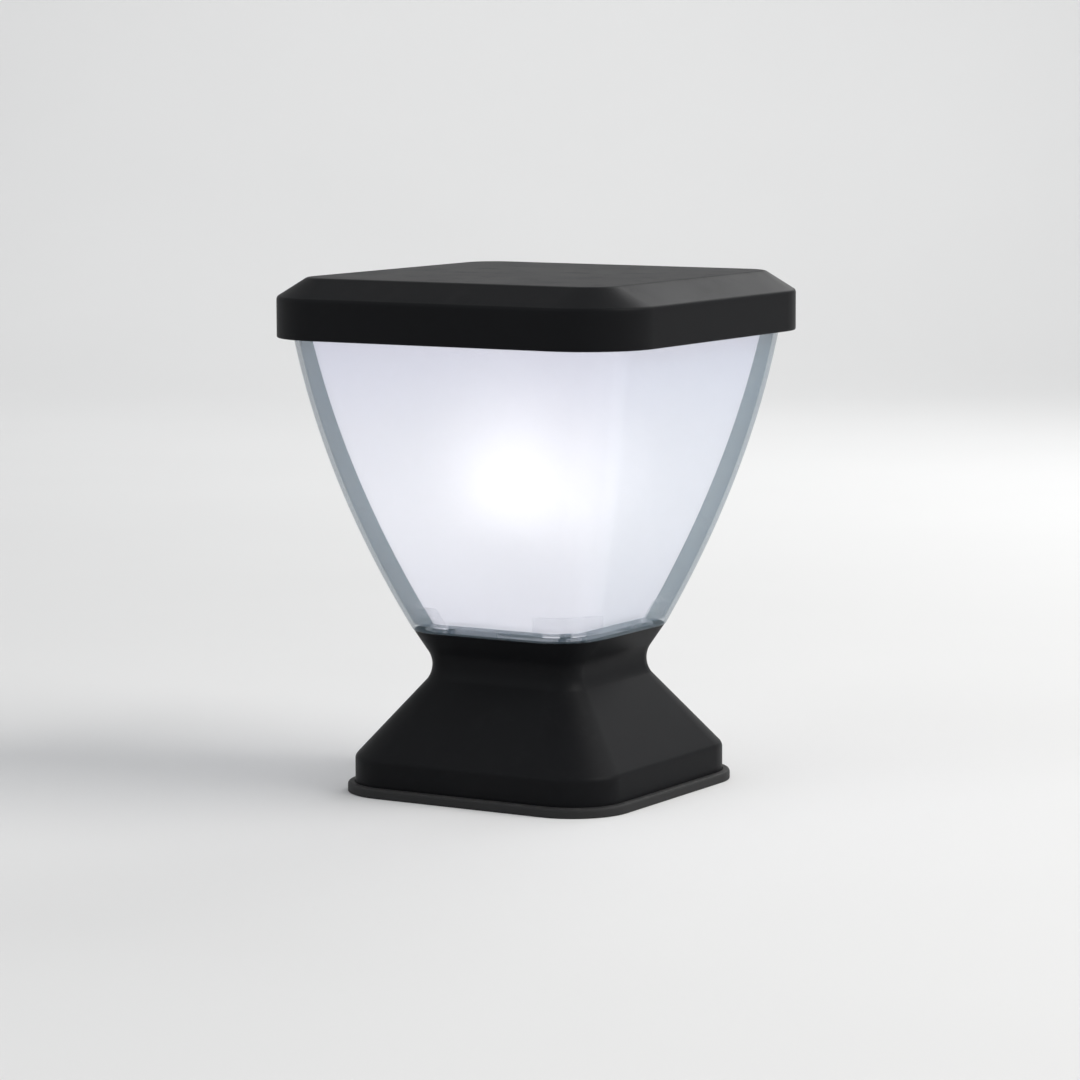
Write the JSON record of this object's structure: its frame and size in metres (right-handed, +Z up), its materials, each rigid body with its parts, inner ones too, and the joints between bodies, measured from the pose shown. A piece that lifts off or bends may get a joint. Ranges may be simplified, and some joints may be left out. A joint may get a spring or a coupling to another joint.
{
  "type": "pillar light",
  "caption": "Square outdoor light for the top of a pillar: black base, clear shade over an opal diffuser, and a lift-off cap over a screw-in lamp.",
  "frame": {"origin": "middle of the foot's underside", "axes": "+Z up, the front face looks along -Y, +X to the right seen from the front"},
  "size_m": [0.2, 0.2, 0.2475],
  "materials": {
    "black_plastic": "satin, fine moulded texture",
    "clear_plastic": "clear, polished",
    "opal_plastic": "opal white, lit from inside",
    "white_plastic": "white, satin",
    "holder_plastic": "moulded thermoset, off-white",
    "black_rubber": "matt black",
    "steel": "zinc plated",
    "brass": "bright",
    "nickelled_brass": "nickel plated",
    "glass_insulator": "black glazed insulator",
    "globe_plastic": "opal white, lit",
    "brown_insulation": "brown insulation",
    "blue_insulation": "blue insulation",
    "led_board": "white coated",
    "led": "lit",
    "driver_board": "green laminate"
  },
  "bodies": {
    "base": {"outer_shade": "clear_plastic", "diffuser": "opal_plastic", "diffuser_clips": "steel", "shade_screws": "steel", "base_shell": "black_plastic", "foot_gasket": "black_rubber", "shade_gasket": "black_rubber", "mounting_plate": "steel", "lock_screws": "steel", "cable_grommet": "black_rubber", "terminal_block": "white_plastic", "terminal_contacts": "brass", "terminal_screws": "steel", "terminal_block_screw": "steel", "live_lead": "brown_insulation", "neutral_lead": "blue_insulation", "lampholder_body": "holder_plastic", "lampholder_screw_shell": "brass", "lampholder_contact": "brass", "lampholder_screws": "steel"},
    "cap": {"cap_shell": "black_plastic", "cap_liner": "white_plastic", "cap_gasket": "black_rubber", "cap_springs": "steel", "liner_screws": "steel", "spring_screws": "steel"},
    "lamp_carrier": {"lamp_contact": "nickelled_brass", "lamp_insulator": "glass_insulator"},
    "lamp": {"lamp_screw_shell": "nickelled_brass", "lamp_housing": "white_plastic", "lamp_globe": "globe_plastic", "lamp_led_board": "led_board", "lamp_leds": "led", "lamp_driver_board": "driver_board"}
  },
  "joints": [
    {"name": "cap_lift", "type": "slide", "parent": "base", "child": "cap", "axis": [0, 0, 1], "range_m": [0, 0.08]},
    {"name": "lamp_rise", "type": "slide", "parent": "base", "child": "lamp_carrier", "axis": [0, 0, 1], "range_m": [0, 0.0128]},
    {"name": "lamp_turn", "type": "hinge", "parent": "lamp_carrier", "child": "lamp", "pos_m": [0, 0, 0.0895], "axis": [0, 0, 1], "range_deg": [0, 1260]}
  ],
  "couplings": [
    {"joint": "lamp_rise", "follows": "lamp_turn", "m_per_rad": 0.00057757}
  ]
}
